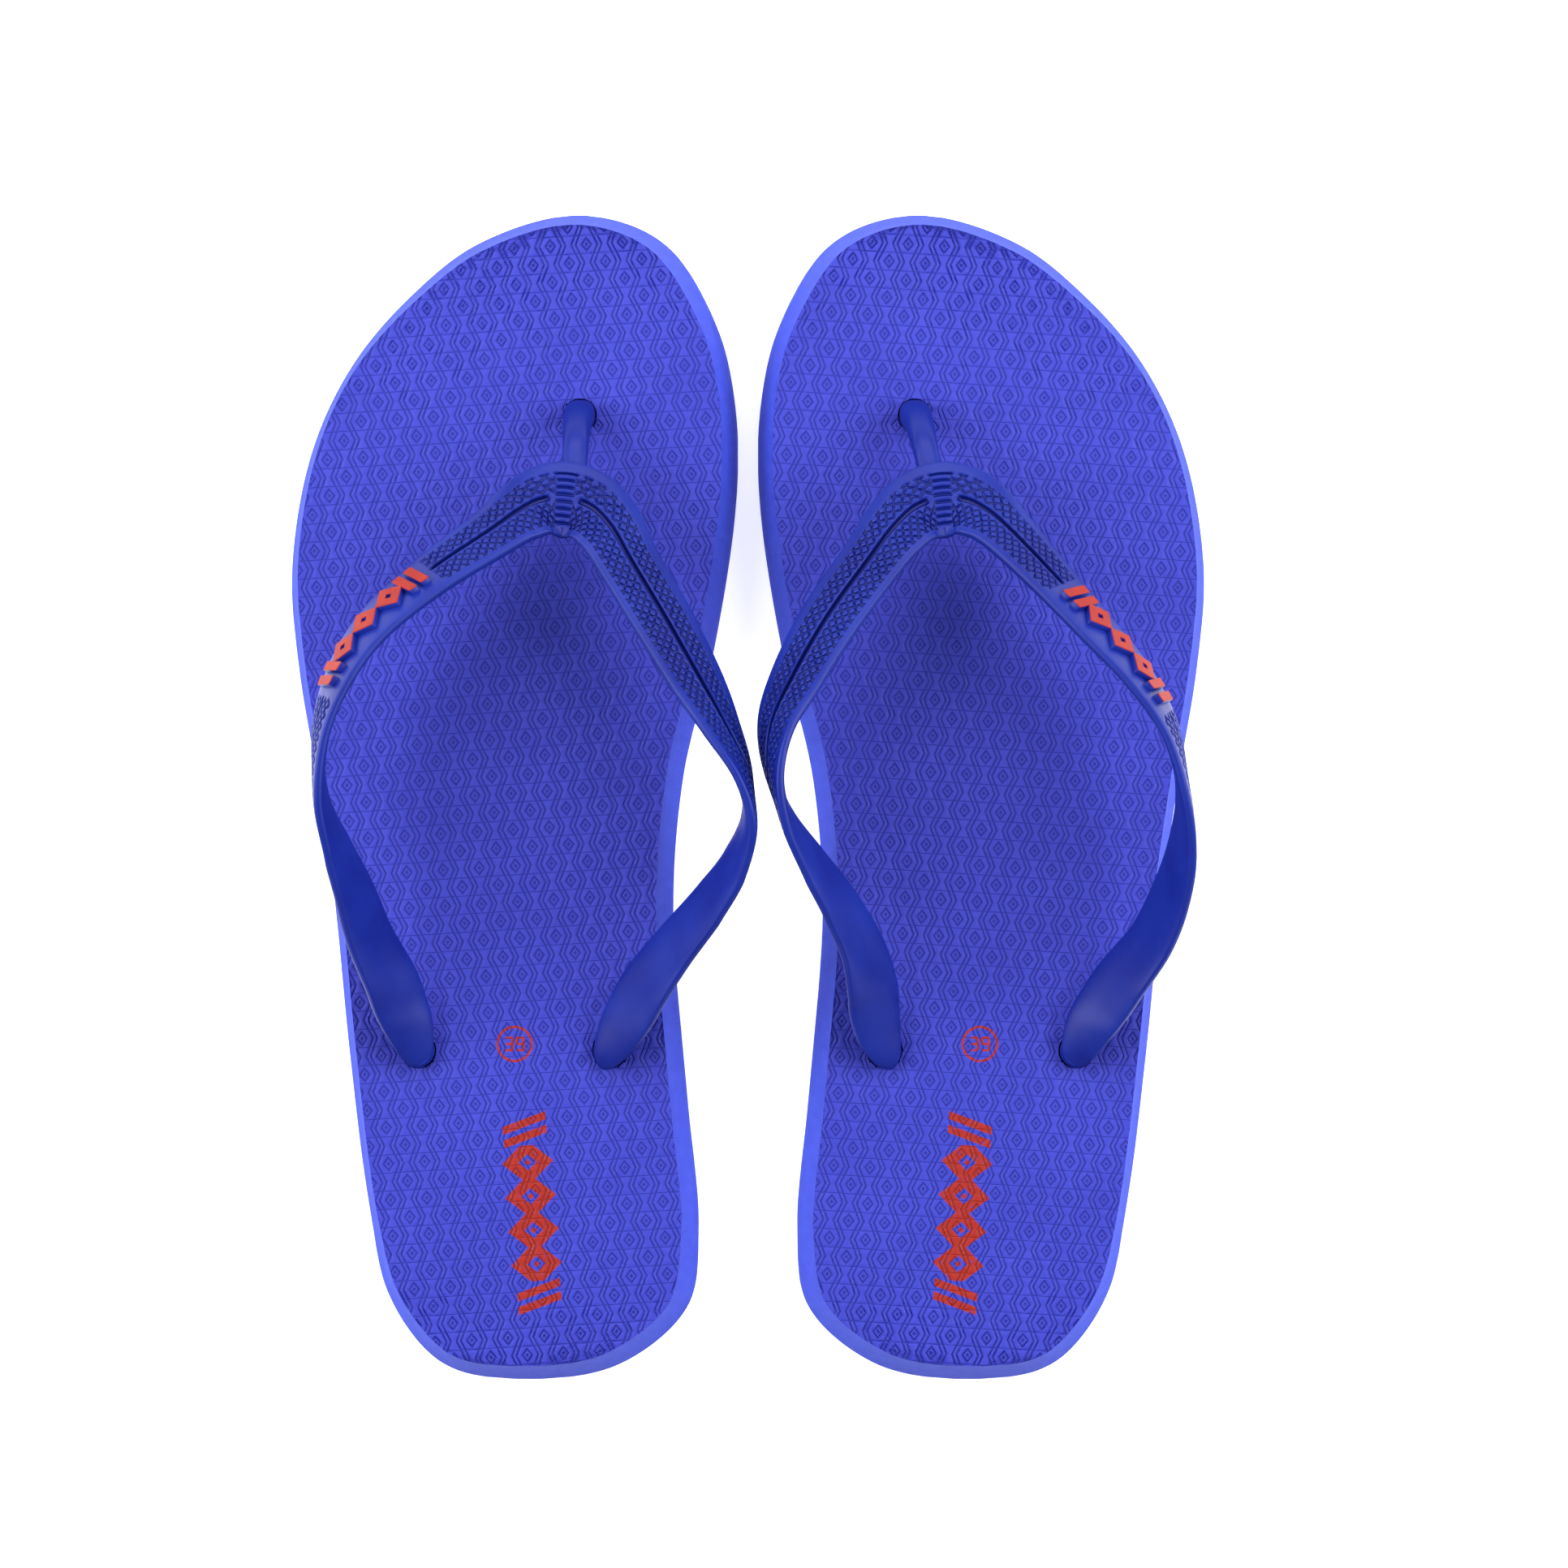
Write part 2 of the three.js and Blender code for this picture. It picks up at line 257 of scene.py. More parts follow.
# The stage, in metres, with each softbox as (name, place, size, watts).
FLOOR_HALF = 3.0
FLOOR_DROP = 0.0002
FLOOR_GLOW = 0.5
WORLD_STRENGTH = 0.34
LIGHT_TARGET = (0.0, 0.0, 0.02)
SOFTBOXES = (
    ("left_softbox", (-0.9, 0.15, 0.75), (0.9, 0.9), 19.0),
    ("right_softbox", (0.9, 0.15, 0.75), (0.9, 0.9), 19.0),
    ("toe_softbox", (0.0, 1.0, 0.8), (1.2, 0.6), 10.5),
)


# ---------------------------------------------------------------- numbers that are also shaders

class Value:
    """A shader number. It takes part in sums the way a plain number or a numpy array does."""

    def __init__(self, tree, socket):
        self.tree = tree
        self.socket = socket

    def sum(self, operation, *terms):
        node = self.tree.nodes.new("ShaderNodeMath")
        node.operation = operation
        for slot, term in zip(node.inputs, terms):
            if isinstance(term, Value):
                self.tree.links.new(term.socket, slot)
            else:
                slot.default_value = float(term)
        return Value(self.tree, node.outputs[0])

    def __add__(self, other):
        return self.sum("ADD", self, other)

    def __radd__(self, other):
        return self.sum("ADD", other, self)

    def __sub__(self, other):
        return self.sum("SUBTRACT", self, other)

    def __rsub__(self, other):
        return self.sum("SUBTRACT", other, self)

    def __mul__(self, other):
        return self.sum("MULTIPLY", self, other)

    def __rmul__(self, other):
        return self.sum("MULTIPLY", other, self)

    def __truediv__(self, other):
        return self.sum("DIVIDE", self, other)

    def __neg__(self):
        return self.sum("SUBTRACT", 0.0, self)


def either(operation, plain, *terms):
    """The same sum on shader values or on plain numbers."""
    value = next((term for term in terms if isinstance(term, Value)), None)
    return value.sum(operation, *terms) if value else plain(*terms)


def size_of(x):
    return either("ABSOLUTE", np.abs, x)


def least(a, b):
    return either("MINIMUM", np.minimum, a, b)


def most(a, b):
    return either("MAXIMUM", np.maximum, a, b)


def wrap(x, period):
    """The distance from x to the nearest multiple of the period, with its sign."""
    return x - either("ROUND", np.round, x / period) * period


def ramp(x, low, high):
    """0 below low, 1 above high, straight between."""
    return least(most((x - low) / (high - low), 0.0), 1.0)


def within(x, edge, soft):
    """1 where x is under the edge, 0 above it, with a soft step between."""
    return 1.0 - ramp(x, edge - soft, edge + soft)


# ---------------------------------------------------------------------------- surface patterns

def lozenges(u, v):
    """How far out from the nearest lozenge's centre a place is, 1 being a lozenge's edge."""
    along = size_of(wrap(u, CELL_LENGTH)) / LOZENGE_HALF[0]
    return along + size_of(wrap(v, 2 * ROW_PITCH)) / LOZENGE_HALF[1]


def emboss(out, y):
    """How deep the embossing is: 0 on the footbed's face, 1 at the bottom of a groove."""
    u = y * math.sin(ROW_TILT) - out * math.cos(ROW_TILT)
    v = y * math.cos(ROW_TILT) + out * math.sin(ROW_TILT)
    swing = (1.0 - size_of(wrap(v, 2 * ROW_PITCH)) * (2 / ROW_PITCH)) * ZIGZAG_SWING
    line = size_of(wrap(u, CELL_LENGTH)) - CELL_LENGTH / 4 - swing
    zigzags = within(size_of(size_of(line) - LINE_GAP), LINE_HALF, LINE_SOFT)
    lozenge = least(lozenges(u, v), lozenges(u - CELL_LENGTH / 2, v - ROW_PITCH))
    rings = within(size_of(lozenge - LOZENGE_RING), LINE_HALF, LOZENGE_SOFT)
    dots = within(lozenge, LOZENGE_DOT, LOZENGE_SOFT)
    between = size_of(wrap(v - ROW_PITCH / 2, ROW_PITCH))
    rows = within(between, ROW_LINE_HALF, ROW_LINE_SOFT) * ROW_LINE_DEPTH
    return most(most(zigzags, rings), most(dots, rows))


def strap_relief(s, w):
    """How far the strap's face is sunk, in millimetres, at s along it and w across it."""
    front = FRONT_BORDER - FULL_WIDTH / 2
    rear = REAR_BORDER - FULL_WIDTH / 2
    across = ramp(w, front - BORDER_SOFT, front + BORDER_SOFT)
    across = across * ramp(-w, rear - BORDER_SOFT, rear + BORDER_SOFT)
    plaque = within(size_of(s + PLAQUE_MIDDLE), PLAQUE_HALF, PLAQUE_SOFT)
    field = across * within(size_of(s), TEXTURE_END, TEXTURE_FADE) * (1.0 - plaque)
    diagonal = KNURL_PITCH * math.sqrt(2)
    squares = most(size_of(wrap(s + w, diagonal)), size_of(wrap(s - w, diagonal)))
    knurl = ramp(squares, *KNURL_CUT)
    ribs = ramp(size_of(wrap(w, RIB_PITCH)), *RIB_CUT)
    at_apex = within(size_of(s) * (1.0 - w / APEX_BEND), RIB_ZONE, BORDER_SOFT)
    sunk = knurl + (ribs - knurl) * at_apex
    beside_groove = within(size_of(w), *GROOVE_LAND) * (1.0 - at_apex)
    sunk = sunk * (1.0 - beside_groove) * KNURL_DEPTH
    groove = within(size_of(w), GROOVE_HALF, GROOVE_SOFT)
    groove = groove * (1.0 - within(size_of(s), *GROOVE_START))
    return field * most(sunk, groove * GROOVE_DEPTH)


def box_mark(x, y, low_x, high_x, low_y, high_y):
    """1 inside an upright box."""
    dx = size_of(x - (low_x + high_x) / 2) - (high_x - low_x) / 2
    dy = size_of(y - (low_y + high_y) / 2) - (high_y - low_y) / 2
    return within(most(dx, dy), 0.0, 0.05)


def digit(x, y, bars):
    """A number made of bars: top, middle, bottom and half-height uprights."""
    stroke = STROKE_HALF
    wide, tall = DIGIT_HALF
    places = {
        "top": (-wide, wide, tall - stroke, tall + stroke),
        "middle": (-wide, wide, -stroke, stroke),
        "bottom": (-wide, wide, -tall - stroke, -tall + stroke),
        "upper_left": (-wide - stroke, -wide + stroke, 0.0, tall),
        "upper_right": (wide - stroke, wide + stroke, 0.0, tall),
        "lower_right": (wide - stroke, wide + stroke, -tall, 0.0),
    }
    marks = [box_mark(x, y, *places[bar]) for bar in bars]
    whole = marks[0]
    for mark in marks[1:]:
        whole = most(whole, mark)
    return whole


def size_mark(out, y, side):
    """The ring and the size number 39 in it."""
    x = (out - SIZE_MARK[0]) * side
    up = y - SIZE_MARK[1]
    radius = either("SQRT", np.sqrt, x * x + up * up)
    ring = within(size_of(radius - SIZE_RING), STROKE_HALF, INK_SOFT)
    three_bars = ("top", "middle", "bottom", "upper_right", "lower_right")
    three = digit(x + DIGIT_PLACE, up, three_bars)
    nine = digit(x - DIGIT_PLACE, up, (*three_bars, "upper_left"))
    return most(ring, most(three, nine))


def heel_band(out, y):
    """The band at the heel: four ringed lozenges between pairs of slanted bars."""
    turn = HEEL_PRINT_TILT
    dx = out - HEEL_PRINT[0]
    dy = y - HEEL_PRINT[1]
    along = dy * math.cos(turn) + dx * math.sin(turn)
    across = dx * math.cos(turn) - dy * math.sin(turn)
    wide, tall = HEEL_LOZENGE_HALF
    beside = size_of(wrap(along - HEEL_PITCH / 2, HEEL_PITCH))
    lozenge = size_of(across) / wide + beside / tall
    ring_middle, ring_half = HEEL_RING
    rings = within(size_of(lozenge - ring_middle), ring_half, 0.02)
    centres = within(lozenge, HEEL_DOT, 0.03)
    marks = most(rings, centres) * within(size_of(along), HEEL_LOZENGES_END, 0.05)
    slanted = size_of(along + across * HEEL_BAR_SLANT)
    thick, high = HEEL_BAR_HALF
    near, far = (within(size_of(slanted - bar), thick, INK_SOFT) for bar in HEEL_BARS)
    bars = most(near, far) * within(size_of(across), high, INK_SOFT)
    return most(marks, bars)


# ----------------------------------------------------------------------------------- materials

def new_material(name):
    material = bpy.data.materials.new(name)
    material.use_nodes = True
    tree = material.node_tree
    shader = tree.nodes["Principled BSDF"]
    return material, tree, shader


def coordinates(tree, side):
    """The shaded point's out and y, in millimetres."""
    texture = tree.nodes.new("ShaderNodeTexCoord")
    split = tree.nodes.new("ShaderNodeSeparateXYZ")
    tree.links.new(texture.outputs["Object"], split.inputs[0])
    x, y = (Value(tree, socket) / MM for socket in split.outputs[:2])
    return x * side, y


def noise(tree, scale, detail=3.0, stretch=None):
    """Noise from 0 to 1 over the object, its scale in lumps per metre."""
    texture = tree.nodes.new("ShaderNodeTexCoord")
    mapping = tree.nodes.new("ShaderNodeMapping")
    if stretch:
        mapping.inputs["Scale"].default_value = stretch
    node = tree.nodes.new("ShaderNodeTexNoise")
    node.inputs["Scale"].default_value = scale
    node.inputs["Detail"].default_value = detail
    tree.links.new(texture.outputs["Object"], mapping.inputs[0])
    tree.links.new(mapping.outputs[0], node.inputs["Vector"])
    return Value(tree, node.outputs["Fac"])


def blend_colours(tree, factor, low, high):
    """A colour between low and high, each a colour or another blend."""
    node = tree.nodes.new("ShaderNodeMix")
    node.data_type = "RGBA"
    tree.links.new(factor.socket, node.inputs["Factor"])
    for name, colour in (("A", low), ("B", high)):
        slot = next(s for s in node.inputs if s.name == name and s.type == "RGBA")
        if isinstance(colour, tuple):
            slot.default_value = (*colour, 1.0)
        else:
            tree.links.new(colour, slot)
    return next(s for s in node.outputs if s.type == "RGBA")


def bump(tree, shader, *layers):
    """Stacks (height from 0 to 1, depth in millimetres) pairs into the shader's normal."""
    last = None
    for height, depth in layers:
        node = tree.nodes.new("ShaderNodeBump")
        node.inputs["Distance"].default_value = depth * MM
        tree.links.new(height.socket, node.inputs["Height"])
        if last:
            tree.links.new(last, node.inputs["Normal"])
        last = node.outputs["Normal"]
    tree.links.new(last, shader.inputs["Normal"])


def set_surface(tree, shader, colour, rough, specular):
    """Sets the shader's colour, its roughness and how strongly it mirrors."""
    tree.links.new(colour, shader.inputs["Base Color"])
    tree.links.new(rough.socket, shader.inputs["Roughness"])
    shader.inputs["Specular IOR Level"].default_value = specular


# Where the noise turns from the first colour to the second, and base colours in linear light.
MOTTLE = (0.35, 0.65)
FOOTBED_BLUE = (0.022, 0.028, 0.32)
FOOTBED_LIGHT = (0.026, 0.033, 0.35)
# Painted shade: the darker blue of the footbed's grooves.
GROOVE_SHADE_BLUE = (0.007, 0.011, 0.21)
WALL_BLUE = (0.030, 0.052, 0.44)
WALL_LIGHT = (0.038, 0.064, 0.49)
STRAP_BLUE = (0.003, 0.010, 0.165)
# A lighter blue, used for the random mottle and for the painted light on the strap's thin edges.
STRAP_LIGHT = (0.005, 0.016, 0.205)
# Painted shade: the darker blue of the strap's sunk knurling and centre groove.
STRAP_RELIEF_SHADE = (0.001, 0.003, 0.075)
INK_RED = (0.25, 0.010, 0.004)
# Painted shade: the red ink's darker shade in the grooves.
INK_GROOVE_SHADE = (0.18, 0.006, 0.003)
BADGE_RED = (0.24, 0.009, 0.003)
BADGE_ORANGE = (0.29, 0.017, 0.005)
FLOOR_GREY = (0.93, 0.93, 0.935)
FLOOR_WHITE = (0.95, 0.95, 0.95)


def footbed_material(side):
    """Embossed foamed rubber, with painted shade darkening its grooves and the ink in them, and red
    ink that is thin in places.
    """
    material, tree, shader = new_material(f"footbed_{side}")
    out, y = coordinates(tree, side)
    groove = emboss(out, y)
    mottle = noise(tree, scale=60.0)
    grain = noise(tree, scale=2600.0, detail=2.0)
    base = blend_colours(tree, ramp(mottle, *MOTTLE), FOOTBED_BLUE, FOOTBED_LIGHT)
    # Painted shade: the embossed grooves are coloured darker, standing in for the shade that falls
    # in them.
    base = blend_colours(tree, groove * 0.85, base, GROOVE_SHADE_BLUE)
    wear = 1.0 - ramp(noise(tree, scale=900.0), 0.62, 0.72) * 0.35
    ink = most(heel_band(out, y), size_mark(out, y, side)) * wear
    # Painted shade: the red ink is coloured darker in the grooves.
    red = blend_colours(tree, groove * 0.8, INK_RED, INK_GROOVE_SHADE)
    colour = blend_colours(tree, ink, base, red)
    rough = 0.5 + mottle * 0.12 + groove * 0.08 - ink * 0.06
    set_surface(tree, shader, colour, rough, specular=0.28)
    bump(tree, shader, (1.0 - groove, 0.16), (grain, 0.03))
    return material


def wall_material():
    """The cut wall: matt, with faint upright streaks from the cutting."""
    material, tree, shader = new_material("cut_wall")
    streaks = noise(tree, scale=420.0, detail=4.0, stretch=(1.0, 1.0, 0.25))
    grain = noise(tree, scale=1900.0)
    colour = blend_colours(tree, ramp(streaks, 0.3, 0.7), WALL_BLUE, WALL_LIGHT)
    set_surface(tree, shader, colour, 0.66 + grain * 0.16, specular=0.12)
    bump(tree, shader, (streaks, 0.03), (grain, 0.04))
    return material


def tread_material():
    """The underside, in uneven blue."""
    material, tree, shader = new_material("tread")
    grain = noise(tree, scale=1500.0)
    dirt = noise(tree, scale=45.0)
    colour = blend_colours(tree, ramp(dirt, 0.35, 0.7), FOOTBED_BLUE, WALL_BLUE)
    set_surface(tree, shader, colour, 0.55 + grain * 0.15, specular=0.5)
    bump(tree, shader, (grain, 0.06))
    return material


def strap_material():
    """Moulded strap plastic. The ribbon attribute holds s, w and whether it is the textured face."""
    material, tree, shader = new_material("strap")
    attribute = tree.nodes.new("ShaderNodeAttribute")
    attribute.attribute_name = "ribbon"
    split = tree.nodes.new("ShaderNodeSeparateXYZ")
    tree.links.new(attribute.outputs["Vector"], split.inputs[0])
    s, w, textured = (Value(tree, socket) for socket in split.outputs)
    sunk = strap_relief(s, w) * textured
    # Painted light mask: how near a point is to the strap's thin edges.
    edge = ramp(size_of(w), FULL_WIDTH / 2 - 1.15, FULL_WIDTH / 2 - 0.05)
    mottle = noise(tree, scale=70.0)
    fine = noise(tree, scale=2400.0, detail=2.0)
    base = blend_colours(tree, ramp(mottle, *MOTTLE), STRAP_BLUE, STRAP_LIGHT)
    # Painted light: the thin edges are coloured lighter, standing in for light shining through the
    # thin plastic.
    base = blend_colours(tree, edge * 0.2, base, STRAP_LIGHT)
    # Painted shade: the sunk knurling and centre groove are coloured darker, standing in for the
    # shade in them.
    colour = blend_colours(tree, ramp(sunk, 0.05, 0.5) * 0.8, base, STRAP_RELIEF_SHADE)
    set_surface(tree, shader, colour, 0.34 + mottle * 0.08 + fine * 0.05, specular=0.2)
    bump(tree, shader, (1.0 - sunk, 0.5), (fine, 0.012))
    return material


def badge_material():
    """The red skin on top of the badge's shapes."""
    material, tree, shader = new_material("badge_top")
    mottle = noise(tree, scale=300.0)
    fine = noise(tree, scale=2600.0, detail=2.0)
    colour = blend_colours(tree, ramp(mottle, *MOTTLE), BADGE_RED, BADGE_ORANGE)
    set_surface(tree, shader, colour, 0.42 + mottle * 0.14, specular=0.15)
    bump(tree, shader, (fine, 0.03))
    return material


def floor_material():
    """Pale matt paper with a faint glow of its own."""
    material, tree, shader = new_material("floor")
    colour = blend_colours(tree, noise(tree, scale=3.0), FLOOR_GREY, FLOOR_WHITE)
    tree.links.new(colour, shader.inputs["Base Color"])
    shader.inputs["Roughness"].default_value = 0.9
    shader.inputs["Emission Color"].default_value = (1.0, 1.0, 1.0, 1.0)
    shader.inputs["Emission Strength"].default_value = FLOOR_GLOW
    return material


# -------------------------------------------------------------------------------------- meshes

def facing_out(points, faces):
    """The faces, all turned round if the closed surface they make is inside out."""
    volume = 0.0
    for face in faces:
        corners = points[np.asarray(face)]
        for i in range(1, corners.shape[-2] - 1):
            a, b, c = corners[..., 0, :], corners[..., i, :], corners[..., i + 1, :]
            volume += np.sum(a * np.cross(b, c))
    if volume < 0:
        return [np.asarray(face)[..., ::-1] for face in faces]
    return [np.asarray(face) for face in faces]


def build(name, points, faces, materials, indices, sharp=40.0):
    """A piece from millimetre points and groups of faces, each group with a material index."""
    points = np.asarray(points)
    groups = facing_out(points, faces)
    polygons, slots = [], []
    for group, index in zip(groups, indices):
        rows = group.tolist() if group.ndim == 2 else [group.tolist()]
        polygons += rows
        slots += [index] * len(rows)
    mesh = bpy.data.meshes.new(name)
    mesh.from_pydata((points * MM).tolist(), [], polygons)
    for material in materials:
        mesh.materials.append(material)
    mesh.polygons.foreach_set("material_index", slots)
    mesh.polygons.foreach_set("use_smooth", [True] * len(polygons))
    mesh.set_sharp_from_angle(angle=math.radians(sharp))
    mesh.update()
    piece = bpy.data.objects.new(name, mesh)
    bpy.context.scene.collection.objects.link(piece)
    return piece


def spline(points, steps, power):
    """A smooth open curve through points. Power 0 spaces its knots evenly, 0.5 by distance."""
    points = np.asarray(points, float)
    first = 2 * points[0] - points[1]
    last = 2 * points[-1] - points[-2]
    padded = np.vstack([first, points, last])
    gaps = np.linalg.norm(np.diff(padded, axis=0), axis=1) ** power
    t = np.linspace(0, 1, steps, endpoint=False)[:, None]
    spans = []
    for i in range(len(points) - 1):
        p0, p1, p2, p3 = padded[i:i + 4]
        g0, g1, g2 = gaps[i:i + 3]
        m1 = ((p1 - p0) / g0 - (p2 - p0) / (g0 + g1) + (p2 - p1) / g1) * g1
        m2 = ((p2 - p1) / g1 - (p3 - p1) / (g1 + g2) + (p3 - p2) / g2) * g1
        spans.append(
            (2 * t**3 - 3 * t**2 + 1) * p1 + (t**3 - 2 * t**2 + t) * m1
            + (3 * t**2 - 2 * t**3) * p2 + (t**3 - t**2) * m2)
    return np.vstack([*spans, points[-1:]])


# --------------------------------------------------------------------------------------- soles

def outline(node, height, side):
    """The CAD wall's outline at a height, smoothed, as a closed ring of points."""
    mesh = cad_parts[node].data
    points = np.array([v.co for v in mesh.vertices]) / MM
    points = points[np.abs(points[:, 2] - height) < SAME_HEIGHT, :2]
    for out, y, _ in ANCHORS:
        away = np.hypot(points[:, 0] - side * out, points[:, 1] - y)
        points = points[away > POCKET_RADIUS + 1]
    points = np.unique(np.round(points, 3), axis=0)
    from_middle = points - np.array([side * SOLE_MIDDLE, 0.0])
    on_wall = np.hypot(*from_middle.T) > CAP_CENTRE_REACH
    angles = np.arctan2(from_middle[on_wall, 1], from_middle[on_wall, 0])
    ring = points[on_wall][np.argsort(angles)]
    lapped = np.vstack([ring[-RING_LAP:], ring, ring[:RING_LAP + 1]])
    fine = spline(lapped, RING_REFINE, 0.5)
    fine = fine[RING_LAP * RING_REFINE:(len(ring) + RING_LAP) * RING_REFINE]
    return np.clip(fine, ring.min(axis=0) + TIP_TRIM, ring.max(axis=0) - TIP_TRIM)


def reach(ring, side):
    """A function from an angle about the sole's middle to the ring's distance that way."""
    dx = ring[:, 0] - side * SOLE_MIDDLE
    angles = np.arctan2(ring[:, 1], dx)
    order = np.argsort(angles)
    distances = np.hypot(dx, ring[:, 1])
    return lambda at: np.interp(at, angles[order], distances[order], period=2 * math.pi)


def stretched_grid(ring, rows, columns):
    """A grid across a closed ring: rows along Y, closer at the ends, and columns across."""
    low, high = np.argmin(ring[:, 1]), np.argmax(ring[:, 1])
    turned = np.roll(ring, -low, axis=0)
    top = (high - low) % len(ring)
    one = turned[:top + 1]
    other = np.vstack([turned[top:], turned[:1]])[::-1]
    ends = turned[0, 1] + TIP_TRIM, turned[top, 1] - TIP_TRIM
    t = np.linspace(-1, 1, rows)
    eased = (1 - END_CROWDING) * t + END_CROWDING * np.sin(t * math.pi / 2)
    y = (ends[0] + ends[1]) / 2 + eased * (ends[1] - ends[0]) / 2
    x1 = np.interp(y, one[:, 1], one[:, 0])
    x2 = np.interp(y, other[:, 1], other[:, 0])
    share = np.linspace(0, 1, columns)
    x = x1[:, None] + (x2 - x1)[:, None] * share
    return x, np.repeat(y[:, None], columns, axis=1)


def grid_faces(rows, columns):
    """The grid's four-sided faces."""
    at = np.arange(rows * columns).reshape(rows, columns)
    corners = at[:-1, :-1], at[:-1, 1:], at[1:, 1:], at[1:, :-1]
    return np.stack([c.ravel() for c in corners], axis=1)


def grid_rim(rows, columns):
    """The grid's outer points in order, once round."""
    at = np.arange(rows * columns).reshape(rows, columns)
    return np.concatenate([at[0, :-1], at[:-1, -1], at[-1, :0:-1], at[:0:-1, 0]])


def snap_to_circle(x, y, centre, radius):
    """Moves the points nearly on a circle onto it, so that its edge is round."""
    dx, dy = x - centre[0], y - centre[1]
    away = np.maximum(np.hypot(dx, dy), 1e-6)
    near = np.abs(away - radius) < SNAP_SLACK
    scale = np.where(near, radius / away, 1.0)
    return centre[0] + dx * scale, centre[1] + dy * scale


def footbed_height(x, y, side):
    """The footbed's top face: embossing, soft dimples round the anchors, and their holes."""
    depth = emboss(x * side, y) * EMBOSS_DEPTH
    for out, anchor_y, radius in ANCHORS:
        dx, dy = x - side * out, y - anchor_y
        away = np.hypot(dx, dy)
        angle = np.arctan2(dy, dx)
        soft = np.exp(-((away / (radius * DIMPLE_REACH)) ** 2))
        band = np.exp(-(((away - radius * PUCKER_REACH) / PUCKER_SPREAD) ** 2))
        depth = depth * (1 - DIMPLE_SMOOTHING * soft) + DIMPLE_DEPTH * soft
        depth = depth + PUCKER_DEPTH * np.cos(angle * PUCKER_COUNT + out) * band
        depth = np.where(away < radius - PIT_EDGE, PIT_DEPTH, depth)
    return FOOTBED_TOP - depth


def tread_height(x, y, side):
    """The underside: zigzag grooves, and a pocket with a plain rim for each plug."""
    out = x * side
    zigzag = size_of(wrap(out, TREAD_WAVE)) * TREAD_SLOPE
    groove = within(size_of(wrap(y + zigzag, TREAD_PITCH)), TREAD_HALF, TREAD_SOFT)
    height = groove * TREAD_DEPTH
    for anchor_out, anchor_y, _ in ANCHORS:
        away = np.hypot(out - anchor_out, y - anchor_y)
        height = height * ramp(away, *(POCKET_RADIUS + land for land in POCKET_LAND))
        height = np.where(away < POCKET_RADIUS - POCKET_EDGE, POCKET_DEPTH, height)
    return height


def sole_layer(name, side, size, rings, heights, surface, snap_radii, materials, rim):
    """A closed layer: a fine grid over one face, loops along its wall, and a flat far face.

    Each loop is a (share, height) pair: share 0 lies on the first ring, 1 on the second, and so on.
    """
    rows, columns = size
    x, y = stretched_grid(rings[0], rows, columns)
    for (out, anchor_y, _), radius in zip(ANCHORS, snap_radii):
        x, y = snap_to_circle(x, y, (side * out, anchor_y), radius)
    z = surface(x, y, side).ravel()
    loop = grid_rim(rows, columns)
    z[loop] = rim
    points = [np.stack([x.ravel(), y.ravel(), z], axis=1)]
    faces = [grid_faces(rows, columns)]
    rim_points = points[0][loop]
    angles = np.arctan2(rim_points[:, 1], rim_points[:, 0] - side * SOLE_MIDDLE)
    reaches = [reach(ring, side)(angles) for ring in rings]
    start = rows * columns
    last = loop
    for share, height in heights:
        low = int(min(share, len(rings) - 1.001))
        distance = reaches[low] + (reaches[low + 1] - reaches[low]) * (share - low)
        ring_points = np.stack([
            side * SOLE_MIDDLE + distance * np.cos(angles),
            distance * np.sin(angles),
            np.full(len(angles), height),
        ], axis=1)
        points.append(ring_points)
        now = np.arange(start, start + len(angles))
        faces.append(np.stack([np.roll(last, -1), last, now, np.roll(now, -1)], axis=1))
        last = now
        start += len(angles)
    faces.append(last[::-1])
    indices = [0] + [1] * (len(faces) - 1)
    return build(name, np.vstack(points), faces, materials, indices)


def footbed(foot, side, wall):
    """The embossed top sheet, with its holes."""
    rings = [outline(f"{foot}_footbed", height, side) for height in (FOOTBED_TOP, LAYER_JOIN)]
    drop = FOOTBED_TOP - LAYER_JOIN
    heights = [(t, FOOTBED_TOP - t * drop) for t in (0.05, 0.35, 0.7, 1.0)]
    radii = [radius for _, _, radius in ANCHORS]
    return sole_layer(
        f"{foot}_footbed_sheet", side, FOOTBED_GRID, rings, heights, footbed_height, radii,
        [footbed_material(side), wall], FOOTBED_TOP)


def outsole(foot, side, wall, tread):
    """The thick lower layer, with a rounded edge at the floor and the tread under it."""
    levels = (0.0, FLOOR_RING, LAYER_JOIN)
    rings = [outline(f"{foot}_outsole", height, side) for height in levels]
    rise = LAYER_JOIN - FLOOR_RING
    wall_loops = [(1 + t, FLOOR_RING + t * rise) for t in (0.25, 0.5, 0.75, 0.999)]
    return sole_layer(
        f"{foot}_outsole_body", side, OUTSOLE_GRID, rings, [*FLOOR_EDGE, *wall_loops],
        tread_height, [POCKET_RADIUS] * len(ANCHORS), [tread, wall], 0.0)


# -------------------------------------------------------------------------------------- straps

def lean(out, y):
    """How far a strap point leans towards +X."""
    leans = OUTER_LEANS if out > APEX_OUT else INNER_LEANS
    return sum(a * (1 - min(1.0, abs((y - c) / r)) ** 2) ** 2 for a, c, r in leans)


